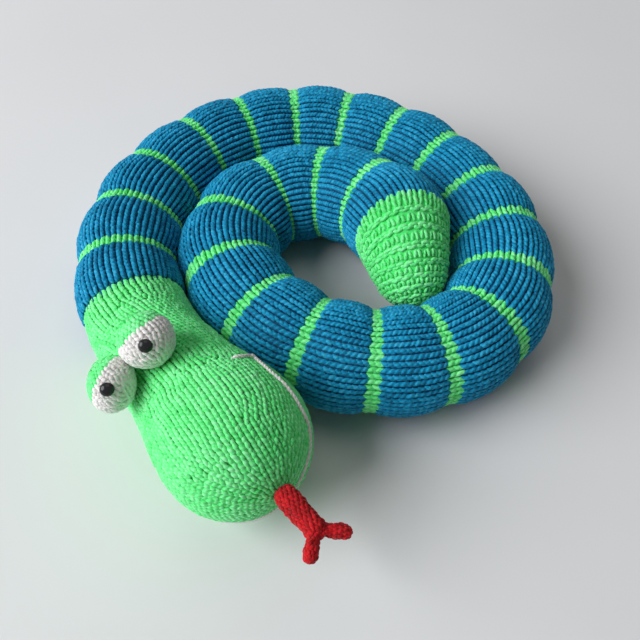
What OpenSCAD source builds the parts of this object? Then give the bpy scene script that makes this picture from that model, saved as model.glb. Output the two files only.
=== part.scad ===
// Knitted and stuffed toy snake, lying on a table in one and a half flat turns.
// The body is a tube of blue knitted bands with narrow green stripes between them.
// Stiffly stuffed lengths are joined by soft bands, where the body bends.
// Places along the body are frames: x runs towards the tail, y to the left, z up.

/* [Body] */
// Diameter of the stuffed body
body_d = 50; // [46:1:53]
// Thickness of the knitted cover
cover_t = 2; // [1.5:0.5:3]
// Room between the filling and its cover
fill_gap = 0.2; // [0.1:0.1:0.5]
// Depth of the flat that the body rests on
rest_flat = 0.5; // [0.3:0.1:0.8]
// Width of a stripe
stripe_w = 5; // [3:0.5:8]
// How far a stripe draws the body in
stripe_dip = 0.6; // [0.3:0.1:1]

/* [Coil] */
// Gap between the outer and the inner turn
turn_gap = 1; // [0.8:0.1:3]
// Inner turn, centreline radius of the first arc
turn_r1 = 42; // [40:1:46]
// Inner turn, angle of the first arc
turn_a1 = 70; // [64:1:76]
// Inner turn, centreline radius of the second arc
turn_r2 = 40; // [38:1:44]
// Inner turn, angle of the second arc
turn_a2 = 61; // [56:1:66]
// Inner turn, centreline radius of the third arc
turn_r3 = 54; // [50:1:60]
// Inner turn, angle of the third arc
turn_a3 = 61; // [55:1:66]
// Crossing from the outer to the inner turn, angle of its first arc
cross_a1 = 29; // [26:1:34]
// Crossing, angle of its second arc
cross_a2 = 60; // [56:1:64]
// Crossing, centreline radius of its second arc
cross_r2 = 56; // [53:1:59]
// Tilt that carries the tail end up from the table
tail_tilt = 12.3; // [10:0.1:16]
// Heading of the body at the neck, seen from above
neck_heading = 117.8; // [110:0.1:125]

/* [Head] */
// Length of the head along its middle, from the neck seam to the snout
head_len = 122; // [116:1:130]
// Widest diameter of the head
head_d = 65.4; // [60:0.2:70]
// Diameter of the neck behind the eyes
neck_d = 52; // [48:0.5:55]
// Distance from the neck seam to that place
neck_at = 42; // [38:1:48]
// Distance from the neck seam to the widest place
cheek_at = 89; // [82:1:94]
// Bend radius of the neck
neck_bend_r = 109; // [95:1:120]
// Gap between the head and the coil that it lies against
head_gap = 0.4; // [0.3:0.1:3]
// Height of the widest place above the table, at its underside
chin_lift = 7.2; // [4:0.2:9]
// How far the head has rolled over to its right
head_roll = 31.9; // [26:0.1:38]

/* [Eyes] */
// Diameter of an eyeball
eye_d = 22.6; // [20:0.2:25]
// Thickness of the eyeball's cover
eye_cover_t = 1.4; // [1:0.1:1.8]
// Gap between the two eyeballs
eye_gap = 0.3; // [0.3:0.1:2]
// Distance from the neck seam to the eyes
eye_at = 48; // [44:0.2:54]
// Depth to which an eyeball is drawn against the head
eye_seat = 1.6; // [1.4:0.1:4]
// Distance from the eyeball's centre back to the seam of its white front
eye_seam = 5.4; // [3:0.1:6]
// Downward tip of the white front
eye_tip = 29.5; // [20:0.5:45]
// Degrees that the fronts of the two eyeballs turn towards each other
eye_toe = 11; // [0:1:20]
// Diameter of the safety eye's dome
pupil_d = 6; // [5:0.5:7]
// Sideways turn of both safety eyes
pupil_side = 5; // [0:1:16]
// Height angle of the left safety eye
pupil_up_left = 40; // [30:1:60]
// Height angle of the right safety eye
pupil_up_right = 48; // [30:1:60]
// Diameter of the safety eye's post
post_d = 2.4; // [2:0.1:3]
// Length of the post inside the eyeball
post_len = 6; // [5:0.5:7]
// Diameter of the washer that locks the post
washer_d = 8; // [6:0.5:9]
// Thickness of the washer
washer_t = 1; // [0.8:0.1:1.4]
// Room round the post in its hole
post_fit = 0.1; // [0.05:0.05:0.2]

/* [Mouth and tongue] */
// Width of the mouth yarn
yarn_w = 2.2; // [1.6:0.1:3]
// Height of the mouth yarn over the head
yarn_h = 1.2; // [0.8:0.1:1.8]
// Distance from the neck seam to the corner of the mouth
mouth_at = 75; // [70:0.5:80]
// Height of the mouth corner over the middle of the head
mouth_rise = 5.6; // [2:0.2:8]
// Distance from the neck seam to the middle bend of the mouth
mouth_mid = 95; // [90:1:98]
// Height of that bend over the middle of the head
mouth_mid_rise = 4.4; // [2:0.2:6]
// Distance from the snout back to the last bend of the mouth
mouth_turn = 12; // [10:0.2:14]
// Depth of that bend under the middle of the head
mouth_dip = 5.4; // [5:0.2:8]
// Depth of the mouth yarn where it passes under the tongue
mouth_front = 6.8; // [5.8:0.1:7.5]
// Length of the short stitch across the mouth corner
tick_len = 9; // [6:0.5:12]
// Forward lean of that stitch
tick_lean = -15; // [-25:1:5]
// Diameter of the tongue at its root
tongue_root_d = 9.4; // [8:0.2:10]
// Diameter of the tongue at its fork
tongue_d = 8.2; // [7:0.2:9]
// Length from the root's centre to the fork
tongue_len = 15.6; // [13:0.2:18]
// Diameter of a prong
prong_d = 5.4; // [4.5:0.1:6]
// Diameter of a prong's round end
prong_tip_d = 6.2; // [6:0.1:7]
// Length of a prong from the fork
prong_len = 13; // [11:0.2:17]
// Angle of a prong from the tongue's line
prong_a = 48; // [35:1:55]
// Height of the tongue over the middle of the snout
tongue_rise = 3; // [0:0.5:5]
// How far the tongue has rolled over to its left
tongue_roll = 13; // [0:1:30]
// Gap between the tongue's root and the snout
tongue_gap = 0.3; // [0.3:0.1:1]

/* [Tail] */
// Length of the tail's green tip
tail_len = 39; // [34:1:44]
// Sideways turn of the tail, to its right
tail_turn = 5.8; // [0:0.2:10]
// How far the tail hangs down from the line of the body
tail_drop = 35.4; // [28:0.2:38]
// Diameter that the straight sides of the tail narrow to at its tip
tail_tip_d = 30; // [20:1:36]
// How blunt the tail ends
tail_blunt = 6.8; // [3:0.2:9]

/* [Hidden] */
$fn = 72;
bands = 23;
soft_bands = [1, 3, 5, 7, 9, 21, 23];
stiff_runs = [[1, 2], [3, 4], [5, 6], [7, 8], [9, 20], [21, 22]];
run_names = ["neck", "fore", "front", "bend", "coil", "rear"];
function two_digits(k) = str(k < 10 ? "0" : "", k);
function band_name(k) = str("band_", two_digits(k));
function soft_filling_name(k) = str("band_filling_", two_digits(k));

blue = [0.10, 0.45, 0.69];
green = [0.27, 0.86, 0.43];
white = [0.92, 0.91, 0.90];
red = [0.84, 0.08, 0.13];
black = [0.03, 0.03, 0.03];
fleece = [0.94, 0.92, 0.86];

body_r = body_d / 2;
head_r = head_d / 2;
neck_r = neck_d / 2;
eye_r = eye_d / 2;
filling_r = body_r - stripe_dip - cover_t - fill_gap;
tube_z = body_r - rest_flat;
turn_pitch = body_d + turn_gap;
touch = 0.1;
neck_lap = 0.3;
neck_lip = 0.15;
wad_gap = 0.02;
tilt_unit = 21;
far = 400;
search_steps = 12;

// Frames: a shift, a turn to the left about z, a roll about x and a nod of x downwards about y
function shift(v) = [[1, 0, 0, v[0]], [0, 1, 0, v[1]], [0, 0, 1, v[2]], [0, 0, 0, 1]];
function turn(a) = [[cos(a), -sin(a), 0, 0], [sin(a), cos(a), 0, 0], [0, 0, 1, 0], [0, 0, 0, 1]];
function roll(a) = [[1, 0, 0, 0], [0, cos(a), -sin(a), 0], [0, sin(a), cos(a), 0], [0, 0, 0, 1]];
function nod(a) = [[cos(a), 0, sin(a), 0], [0, 1, 0, 0], [-sin(a), 0, cos(a), 0], [0, 0, 0, 1]];
function place(frame) = [frame[0][3], frame[1][3], frame[2][3]];
function spot(frame, v) = place(frame * shift(v));

// Centreline: three outer arcs, three crossing arcs and the three inner arcs, all to the right.
// An outer arc shares its centre with an inner one. The first and last crossing arcs have the
// radii that bring the body round to lie one pitch inside its own start.
function arc_step(h, a) = [sin(h) - sin(h - a), cos(h - a) - cos(h)];
function arc_steps_sum(v, n = 0) = n == len(v) ? [0, 0] : v[n] + arc_steps_sum(v, n + 1);
outer_a = turn_a1 + turn_a2 + turn_a3;
cross_a3 = 360 - outer_a - cross_a1 - cross_a2;
outer_end = arc_steps_sum([
    (turn_r1 + turn_pitch) * arc_step(0, turn_a1),
    (turn_r2 + turn_pitch) * arc_step(-turn_a1, turn_a2),
    (turn_r3 + turn_pitch) * arc_step(-turn_a1 - turn_a2, turn_a3)
]);
cross_step1 = arc_step(-outer_a, cross_a1);
cross_step2 = arc_step(-outer_a - cross_a1, cross_a2);
cross_step3 = arc_step(-outer_a - cross_a1 - cross_a2, cross_a3);
cross_rest = [0, -turn_pitch] - outer_end - cross_r2 * cross_step2;
cross_r1 = cross(cross_rest, cross_step3) / cross(cross_step1, cross_step3);
cross_r3 = cross(cross_step1, cross_rest) / cross(cross_step1, cross_step3);
arcs = [
    [turn_r1 + turn_pitch, turn_a1],
    [turn_r2 + turn_pitch, turn_a2],
    [turn_r3 + turn_pitch, turn_a3],
    [cross_r1, cross_a1],
    [cross_r2, cross_a2],
    [cross_r3, cross_a3],
    [turn_r1, turn_a1],
    [turn_r2, turn_a2],
    [turn_r3, turn_a3]
];
function arc_len(k) = arcs[k][0] * arcs[k][1] * PI / 180;
function arc_from(k) = k == 0 ? 0 : arc_from(k - 1) + arc_len(k - 1);
arc_starts = [for (k = [0:len(arcs)]) arc_from(k)];
body_len = arc_starts[len(arcs)];

// Units: a unit is a stripe and the band behind it, and each unit has one even bend, the mean of
// the arcs that it passes. Unit 1 is the first band alone, and the last unit ends with the body.
band_pitch = body_len / bands;
function unit_to(k) = k == bands ? body_len : k * band_pitch - stripe_w / 2;
function unit_from(k) = k == 1 ? 0 : unit_to(k - 1);
function unit_len(k) = unit_to(k) - unit_from(k);
function overlap(k, i) = max(0, min(unit_to(k), arc_starts[i + 1]) - max(unit_from(k), arc_starts[i]));
function sum(v, n = 0) = n == len(v) ? 0 : v[n] + sum(v, n + 1);
function unit_a(k) = sum([for (i = [0:len(arcs) - 1]) overlap(k, i) / arcs[i][0]]) * 180 / PI;
function bend_right(r, a) = shift([0, -r, 0]) * turn(-a) * shift([0, r, 0]);
unit_as = [0, for (k = [1:bands]) unit_a(k)];
unit_rs = [0, for (k = [1:bands]) unit_len(k) / unit_as[k] * 180 / PI];
// The tail end tilts up from this unit on, and from there its round underside clears the table
tilt_start = shift([0, 0, rest_flat]) * roll(-tail_tilt);
function unit_frame(k) = k == 1
    ? shift([0, 0, tube_z]) * turn(neck_heading)
    : unit_frame(k - 1) * bend_right(unit_rs[k - 1], unit_as[k - 1])
        * (k == tilt_unit ? tilt_start : shift([0, 0, 0]));
unit_frames = [0, for (k = [1:bands]) unit_frame(k)];
function unit_at(s) = max(1, min(bands, ceil((s + stripe_w / 2) / band_pitch)));
function along(s, k) = (s - unit_from(k)) / unit_len(k) * unit_as[k];
function frame_at(s) = let(k = unit_at(s)) unit_frames[k] * bend_right(unit_rs[k], along(s, k));

function band_from(k) = k == 1 ? 0 : unit_from(k) + stripe_w;

// Head: a short bend in the neck, then a pear that is turned about its own straight line.
// It rises enough to clear the table and turns in until it lies against the coil.
head_pitch = asin((head_r + chin_lift - tube_z) / cheek_at);
neck_frame = frame_at(0) * turn(180);
function head_way(a) = [cos(head_pitch) * cos(a), cos(head_pitch) * sin(a), sin(head_pitch)];
function neck_turn(a) = acos(head_way(a)[0]);
function neck_roll(a) = atan2(head_way(a)[2], head_way(a)[1]);
function neck_bend(a) = roll(neck_roll(a)) * shift([0, neck_bend_r, 0])
    * turn(neck_turn(a)) * shift([0, -neck_bend_r, 0]) * roll(-neck_roll(a));
function neck_len(a) = neck_bend_r * neck_turn(a) * PI / 180;
function ease(t) = (1 - cos(180 * min(max(t, 0), 1))) / 2;
function pear_r(z, from) = z < neck_at
    ? body_r + (neck_r - body_r) * ease((z - from) / (neck_at - from))
    : z < cheek_at
    ? neck_r + (head_r - neck_r) * ease((z - neck_at) / (cheek_at - neck_at))
    : head_r * sqrt(max(0, 1 - pow((z - cheek_at) / (head_len - cheek_at), 2)));
// Largest ball round the head's middle line at z that stays inside the head
function pear_ball(z, from) = min([for (w = [0:2:head_len]) norm([z - w, pear_r(w, from)])]);
coil_spots = [for (s = [10 * band_pitch:5:body_len]) place(frame_at(s))];
function room(p, r) = min([for (q = coil_spots) norm(p - q)]) - body_r - r;
function head_room(a) = min([for (z = [neck_len(a):5:head_len - 15])
    room(spot(neck_frame * neck_bend(a), [z - neck_len(a), 0, 0]), pear_ball(z, neck_len(a)))]);
function settle_head(lo, hi, n) = n == 0 ? lo : let(a = (lo + hi) / 2)
    head_room(a) >= head_gap ? settle_head(a, hi, n - 1) : settle_head(lo, a, n - 1);
head_turn_least = -20;
head_turn_most = 60;
head_turn = settle_head(head_turn_least, head_turn_most, search_steps);
bend_len = neck_len(head_turn);
head_frame = neck_frame * neck_bend(head_turn) * shift([-bend_len, 0, 0]);
face_frame = head_frame * roll(head_roll);

// Eyes: each ball lies against the head, and the two balls lie against each other
eye_out = pear_r(eye_at, bend_len) + eye_r - eye_seat;
eye_spread = asin((eye_d + eye_gap) / 2 / eye_out);
function eye_root(side) = face_frame * shift([eye_at, 0, 0]) * roll(-side * eye_spread);
function eye_frame(side) = face_frame
    * shift([eye_at, side * eye_out * sin(eye_spread), eye_out * cos(eye_spread)]);
function eyeball_frame(side) = eye_frame(side) * turn(-side * eye_toe) * nod(eye_tip);
// An eyeball is drawn flat where it is sewn on, along the slope of the head
seat_half = sqrt(eye_r * eye_r - pow(eye_r - eye_seat, 2));
seat_back_r = pear_r(eye_at - seat_half, bend_len);
seat_front_r = pear_r(eye_at + seat_half, bend_len);
seat_slope = atan2(seat_front_r - seat_back_r, 2 * seat_half);
function seat_frame(side) = eye_root(side)
    * shift([0, 0, (seat_back_r + seat_front_r) / 2 + touch]) * nod(-seat_slope);
function pupil_up(side) = side > 0 ? pupil_up_left : pupil_up_right;
function pupil_frame(side) = eye_frame(side) * turn(pupil_side) * nod(-pupil_up(side));
pupil_rim_x = sqrt(eye_r * eye_r - pupil_d * pupil_d / 4);
eye_inner_r = eye_r - eye_cover_t;
washer_x = sqrt(eye_inner_r * eye_inner_r - washer_d * washer_d / 4) - post_fit / 2;

// Tongue: its round root is centred where it wags
tongue_frame = head_frame * shift([head_len + tongue_gap + tongue_root_d / 2, 0, tongue_rise])
    * roll(-tongue_roll);
prong_end = [tongue_len + prong_len * cos(prong_a), -prong_len * sin(prong_a), 0];

// Tail: it hangs from the raised end of the body over the hole of the coil
end_frame = frame_at(body_len);
function tail_r(z) = (body_r + (tail_tip_d / 2 - body_r) * z / tail_len)
    * sqrt(max(0, 1 - pow(z / tail_len, tail_blunt)));
tail_frame = end_frame * turn(-tail_turn) * nod(tail_drop);

// The middle of the whole toy, seen from above, is the origin
outline_spots = [for (s = [0:2:body_len]) place(frame_at(s))];
outline_x = [for (p = outline_spots) p[0]];
outline_y = [for (p = outline_spots) p[1]];
front_y = min(min(outline_y) - body_r, spot(tongue_frame, prong_end)[1] - prong_tip_d / 2);
middle_x = (min(outline_x) + max(outline_x)) / 2;
middle_y = (front_y + max(outline_y) + body_r) / 2;

module centred() {
    translate([-middle_x, -middle_y, 0]) children();
}

module table() {
    translate([-far, -far, -far]) cube([2 * far, 2 * far, far]);
}

// Length of unit k from its station s0 to s1, with the given section
module unit_run(k, s0, s1) {
    multmatrix(unit_frames[k])
        translate([0, -unit_rs[k], 0])
            rotate([0, 0, 90 - along(s1, k)])
                rotate_extrude(angle = along(s1, k) - along(s0, k))
                    translate([unit_rs[k], 0])
                        children();
}

module skin_section(r) {
    difference() {
        circle(r);
        circle(r - cover_t);
    }
}

module band(k) {
    color(blue) centred() difference() {
        unit_run(k, band_from(k), unit_to(k)) skin_section(body_r);
        if (k < tilt_unit) table();
    }
}

// Stripe k opens the unit behind band k
module stripe(k) {
    unit_run(k + 1, unit_to(k), unit_to(k) + stripe_w) skin_section(body_r - stripe_dip);
}

module stripes(run) {
    color(green) centred()
        for (k = [run[0]:run[1]])
            stripe(k);
}

module filling(k) {
    unit_run(k, unit_from(k) + wad_gap, unit_to(k)) circle(filling_r);
}

module run_filling(run) {
    color(fleece) centred()
        for (k = [run[0] + 1:run[1]])
            filling(k);
}

module soft_filling(k) {
    color(fleece) centred() filling(k);
}

// Pear of the head, larger or smaller all over by grow. It starts at the neck's bend.
module pear(grow) {
    steps = 12;
    neck_steps = 4;
    start = bend_len - (grow < 0 ? touch : 0);
    swell = [for (i = [1:neck_steps]) bend_len + (neck_at - bend_len) * i / neck_steps];
    belly = [for (i = [1:steps]) neck_at + (cheek_at - neck_at) * i / steps];
    nose = [for (i = [1:steps - 1]) 90 * i / steps];
    multmatrix(head_frame) rotate([0, 90, 0]) rotate_extrude() polygon(concat(
        [[0, start], [body_r + neck_lip + grow, start]],
        [for (z = concat(swell, belly)) [pear_r(z, bend_len) + grow, z]],
        [for (t = nose) [(head_r + grow) * cos(t), cheek_at + (head_len + grow - cheek_at) * sin(t)]],
        [[0, head_len + grow]]
    ));
}

// The neck's bend laps into the pear, which is wider there by a small lip, so that they are one piece
module neck_run() {
    lap_a = neck_lap / neck_bend_r * 180 / PI;
    multmatrix(neck_frame * roll(neck_roll(head_turn)))
        translate([0, neck_bend_r, 0])
            rotate([0, 0, -90])
                rotate_extrude(angle = neck_turn(head_turn) + lap_a)
                    translate([neck_bend_r, 0])
                        children();
}

module head_cover() {
    color(green) centred() difference() {
        union() {
            neck_run() skin_section(body_r);
            difference() {
                pear(0);
                pear(-cover_t);
            }
        }
        table();
    }
}

module head_filling() {
    color(fleece) centred() {
        neck_run() circle(filling_r);
        difference() {
            pear(-cover_t - stripe_dip - fill_gap);
            multmatrix(head_frame) translate([bend_len - far, -far / 2, -far / 2]) cube(far);
        }
    }
}

// Flat box of the mouth yarn's width between two places on the head's middle plane
module yarn_slab(from, to) {
    way = to - from;
    translate([from[0], 0, from[1]])
        rotate([0, -atan2(way[1], way[0]), 0])
            translate([0, -far / 2, -yarn_w / 2])
                cube([norm(way), far, yarn_w]);
}

module mouth_yarn() {
    corner = [mouth_at, mouth_rise];
    middle = [mouth_mid, mouth_mid_rise];
    low = [head_len - mouth_turn, -mouth_dip];
    front = [head_len + 2 * yarn_h, -mouth_front];
    tick_top = corner + tick_len * [sin(tick_lean), cos(tick_lean)];
    color(white) centred() intersection() {
        difference() {
            pear(yarn_h);
            pear(0);
        }
        multmatrix(face_frame) {
            yarn_slab(corner, middle);
            yarn_slab(middle, low);
            yarn_slab(low, front);
            yarn_slab(corner, tick_top);
        }
    }
}

// Ball round the eye's centre, with its poles on the line through the white front's tip
module eyeball(side, r) {
    multmatrix(eyeball_frame(side)) rotate([0, 90, 0]) sphere(r);
}

module post(side, r, from, to) {
    multmatrix(pupil_frame(side)) translate([from, 0, 0]) rotate([0, 90, 0])
        cylinder(r = r, h = to - from);
}

// Half of the ball that lies in front of the seam, or behind it
module seam_side(side, front) {
    multmatrix(eyeball_frame(side))
        translate([front ? -eye_seam : -eye_seam - far, -far / 2, -far / 2])
            cube(far);
}

module under_seat(side) {
    multmatrix(seat_frame(side)) translate([-far / 2, -far / 2, -far]) cube(far);
}

module eye_shell(side, front) {
    intersection() {
        difference() {
            eyeball(side, eye_r);
            eyeball(side, eye_inner_r);
            under_seat(side);
        }
        seam_side(side, front);
    }
}

module eye_white(side) {
    color(white) centred() difference() {
        eye_shell(side, true);
        post(side, post_d / 2 + post_fit, 0, far);
    }
}

module eye_back(side) {
    color(green) centred() eye_shell(side, false);
}

module eye_filling(side) {
    color(fleece) centred() difference() {
        multmatrix(eye_frame(side)) sphere(eye_inner_r - fill_gap);
        under_seat(side);
        post(side, post_d / 2 + post_fit, eye_r - post_len - post_fit, far);
        post(side, washer_d / 2 + post_fit, washer_x - washer_t - post_fit, far);
    }
}

module safety_eye(side) {
    color(black) centred() {
        difference() {
            multmatrix(pupil_frame(side)) translate([pupil_rim_x, 0, 0]) rotate([0, 90, 0])
                sphere(pupil_d / 2);
            eyeball(side, eye_r);
        }
        post(side, post_d / 2, eye_r - post_len, eye_r + pupil_d / 4);
    }
}

module safety_washer(side) {
    color(white) centred() difference() {
        post(side, washer_d / 2, washer_x - washer_t, washer_x);
        post(side, post_d / 2 + post_fit / 2, 0, far);
    }
}

module prong(side) {
    translate([tongue_len, 0, 0]) rotate([0, 0, side * prong_a]) {
        rotate([0, 90, 0]) cylinder(d = prong_d, h = prong_len);
        translate([prong_len, 0, 0]) sphere(d = prong_tip_d);
    }
}

module tongue() {
    color(red) centred() multmatrix(tongue_frame) {
        sphere(d = tongue_root_d);
        rotate([0, 90, 0]) cylinder(d1 = tongue_root_d, d2 = tongue_d, h = tongue_len);
        translate([tongue_len, 0, 0]) sphere(d = tongue_d);
        prong(1);
        prong(-1);
    }
}

// Tail tip with a round shoulder, cut square at the tail seam, smaller all over by inset
module tail_form(inset, start = touch) {
    steps = 14;
    intersection() {
        union() {
            multmatrix(end_frame) sphere(body_r - inset);
            multmatrix(tail_frame) rotate([0, 90, 0]) rotate_extrude() polygon(concat(
                [[0, 0]],
                [for (i = [0:steps - 1]) let(z = tail_len * sin(90 * i / steps))
                    [tail_r(z) * (body_r - inset) / body_r, z * (tail_len - inset) / tail_len]],
                [[0, tail_len - inset]]
            ));
        }
        multmatrix(end_frame) translate([start, -far / 2, -far / 2]) cube(far);
    }
}

module tail_cover() {
    color(green) centred() difference() {
        tail_form(0);
        tail_form(cover_t, -touch);
    }
}

module tail_filling() {
    color(fleece) centred() tail_form(cover_t + stripe_dip + fill_gap);
}

head_cover();
head_filling();
mouth_yarn();
tongue();
eye_white(1);  // eye_white_left
eye_white(-1);  // eye_white_right
eye_back(1);  // eye_back_left
eye_back(-1);  // eye_back_right
eye_filling(1);  // eye_filling_left
eye_filling(-1);  // eye_filling_right
safety_eye(1);  // safety_eye_left
safety_eye(-1);  // safety_eye_right
safety_washer(1);  // safety_washer_left
safety_washer(-1);  // safety_washer_right
tail_cover();
tail_filling();
for (k = [1:bands])
    band(k);
for (k = soft_bands)
    soft_filling(k);
for (i = [0:len(run_names) - 1])
    stripes(stiff_runs[i]);
for (i = [0:len(run_names) - 1])
    run_filling(stiff_runs[i]);
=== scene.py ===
"""Knitted toy snake. Yarn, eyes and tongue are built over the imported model.

Lengths are in millimetres and angles in degrees until a mesh or a material is made.
"""
import math

import bpy
import numpy as np
from mathutils import Matrix, Vector


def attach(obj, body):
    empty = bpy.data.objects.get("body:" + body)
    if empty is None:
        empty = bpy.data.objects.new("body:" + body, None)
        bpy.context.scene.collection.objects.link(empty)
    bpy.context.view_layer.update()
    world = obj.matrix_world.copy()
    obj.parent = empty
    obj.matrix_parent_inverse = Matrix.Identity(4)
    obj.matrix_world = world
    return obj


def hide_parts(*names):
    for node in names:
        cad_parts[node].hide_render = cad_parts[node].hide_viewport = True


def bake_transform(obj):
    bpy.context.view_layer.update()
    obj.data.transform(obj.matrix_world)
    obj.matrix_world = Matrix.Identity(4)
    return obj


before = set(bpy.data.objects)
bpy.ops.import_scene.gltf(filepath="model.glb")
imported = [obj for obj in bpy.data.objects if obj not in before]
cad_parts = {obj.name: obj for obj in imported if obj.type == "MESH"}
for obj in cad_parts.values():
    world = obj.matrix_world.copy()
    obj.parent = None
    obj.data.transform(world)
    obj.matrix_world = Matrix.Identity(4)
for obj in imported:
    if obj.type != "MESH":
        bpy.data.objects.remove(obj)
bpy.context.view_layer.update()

MM = 0.001
random = np.random.default_rng(11)

# ---------------------------------------------------------------- sizes that repeat those of the CAD model
# Body: the turns are lists of (radius, angle)
BODY_R = 25.0
REST_FLAT = 0.5
STRIPE_W = 5.0
BANDS = 23
TURN_PITCH = 51.0
INNER_TURN = [(42.0, 70.0), (40.0, 61.0), (54.0, 61.0)]
CROSS_A1, CROSS_A2, CROSS_R2 = 29.0, 60.0, 56.0
TILT_UNIT = 21
TAIL_TILT = 12.3
NECK_HEADING = 117.8
# First stripe and last band of each stuffed length, and the two lengths that each soft band joins
RUNS = {"neck": (1, 2), "fore": (3, 4), "front": (5, 6), "bend": (7, 8), "coil": (9, 20), "rear": (21, 22)}
SOFT = {1: ("head", "neck"), 3: ("neck", "fore"), 5: ("fore", "front"), 7: ("front", "bend"),
        9: ("bend", "coil"), 21: ("coil", "rear"), 23: ("rear", "tail")}
# Head
HEAD_LEN, HEAD_R = 122.0, 32.7
NECK_R, NECK_AT, CHEEK_AT = 26.0, 42.0, 89.0
NECK_BEND_R, CHIN_LIFT, HEAD_ROLL, HEAD_TURN = 109.0, 7.2, 31.9, 14.1602
# Eyes
EYE_R, EYE_GAP, EYE_AT, EYE_SEAT = 11.3, 0.3, 48.0, 1.6
EYE_SEAM, EYE_TIP, EYE_TOE = 5.4, 29.5, 11.0
PUPIL_R, PUPIL_SIDE, PUPIL_UP = 3.0, 5.0, {1: 40.0, -1: 48.0}
# Tongue
TONGUE_ROOT_R, TONGUE_R, TONGUE_LEN, TONGUE_GAP = 4.7, 4.1, 15.6, 0.3
TONGUE_RISE, TONGUE_ROLL = 3.0, 13.0
PRONG_R, PRONG_TIP_R, PRONG_LEN, PRONG_A = 2.7, 3.1, 13.0, 48.0
# Tail
TAIL_LEN, TAIL_TURN, TAIL_DROP = 39.0, 5.8, 35.4
TAIL_TIP_R, TAIL_BLUNT = 15.0, 6.8

# ---------------------------------------------------------------- sizes of the knitting
# Stitches round the body and round the widest part of the head, and the height of a row
STITCHES, HEAD_STITCHES, ROW = 27, 48, 2.3
# How far the middle of the yarn lies under the smooth form of the CAD model
SINK = 0.45
# How far the green rows draw the body in, and how far the bands rise between them, with its spread
DRAWN_IN, PUFF_MEAN, PUFF_SPREAD = 0.8, 2.2, 0.35
# How much one stitch differs from the next: width and thickness as parts, lift in mm, slip in rows
VARY_WIDE, VARY_FAT, VARY_LIFT, VARY_SLIP = 0.05, 0.06, 0.1, 0.03
# Yarn lies no lower than this
TABLE = 0.02
# Head: place where its two pieces meet, and the width at which its stitches get their full thickness
HEAD_SPLIT, HEAD_FULL_STITCH = 62.0, 5.2
# Mouth yarn: radius of a ply, its distance from the yarn's middle, and the length of one twist
PLIES, PLY_R, PLY_OUT, PLY_TWIST = 2, 0.58, 0.72, 3.6
# Eyeballs: height of a row and width of a stitch, and how much narrower the right ball looks from the camera
EYE_ROW, EYE_STITCH, EYE_NARROW = 2.0, 4.1, 0.18
TONGUE_ROW = 1.9
# Tail tip: height of a ridge with its hollow, and stitches in the round where the radius is over each limit
GARTER = 5.4
TAIL_ROUNDS = ((18.5, 27), (15, 22), (11, 16), (6.5, 11), (-1, 6))

# ---------------------------------------------------------------- the photograph's camera
# Its place, measured from the neck seam, its axes and its focal length in pixels of a picture this wide
CAMERA_AT = (88.86, -177.76, 296.52)
RIGHTWARD = np.array([0.99892455, 0.0387067, 0.02552502])
UPWARD = np.array([-0.04636523, 0.83392376, 0.54992857])
AHEAD = np.array([0.0, 0.55052063, -0.83482156])
FOCAL_PX, PICTURE_PX, SENSOR = 667.829218, 640, 36.0


# ---------------------------------------------------------------- frames
def shift(x, y, z):
    m = np.eye(4)
    m[:3, 3] = (x, y, z)
    return m


def turning(axis, degrees):
    m = np.eye(4)
    m[:3, :3] = np.array(Matrix.Rotation(math.radians(degrees), 3, axis))
    return m


def turn(a):
    return turning("Z", a)


def roll(a):
    return turning("X", a)


def nod(a):
    return turning("Y", a)


def bend_right(r, a):
    return shift(0, -r, 0) @ turn(-a) @ shift(0, r, 0)


def arc_step(h, a):
    """Way along a right-hand arc of radius 1 and angle a that starts with the heading h."""
    h, b = math.radians(h), math.radians(h - a)
    return np.array([math.sin(h) - math.sin(b), math.cos(b) - math.cos(h)])


def centreline_arcs():
    """The outer turn, a crossing that leads one pitch inwards, and the inner turn."""
    outer, heading, end = [], 0.0, np.zeros(2)
    for r, a in INNER_TURN:
        outer.append((r + TURN_PITCH, a))
        end += (r + TURN_PITCH) * arc_step(heading, a)
        heading -= a
    cross_a3 = 360 + heading - CROSS_A1 - CROSS_A2
    step1 = arc_step(heading, CROSS_A1)
    step2 = arc_step(heading - CROSS_A1, CROSS_A2)
    step3 = arc_step(heading - CROSS_A1 - CROSS_A2, cross_a3)
    missing = np.array([0, -TURN_PITCH]) - end - CROSS_R2 * step2
    r1, r3 = np.linalg.solve(np.stack([step1, step3], 1), missing)
    return outer + [(r1, CROSS_A1), (CROSS_R2, CROSS_A2), (r3, cross_a3)] + INNER_TURN


ARCS = centreline_arcs()
STARTS = np.concatenate([[0], np.cumsum([r * math.radians(a) for r, a in ARCS])])
BODY_LEN = STARTS[-1]
BAND_PITCH = BODY_LEN / BANDS


# A unit is a stripe and the band after it. The first one has no stripe
def unit_to(k):
    return BODY_LEN if k == BANDS else k * BAND_PITCH - STRIPE_W / 2


def unit_from(k):
    return 0.0 if k == 1 else unit_to(k - 1)


def band_from(k):
    return 0.0 if k == 1 else unit_from(k) + STRIPE_W


def unit_bend(k):
    """Radius and angle of the one bend that the CAD model gives a unit."""
    def in_unit(i):
        return max(0.0, min(unit_to(k), STARTS[i + 1]) - max(unit_from(k), STARTS[i]))
    a = sum(in_unit(i) / r for i, (r, _) in enumerate(ARCS))
    return (unit_to(k) - unit_from(k)) / a, math.degrees(a)


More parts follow.
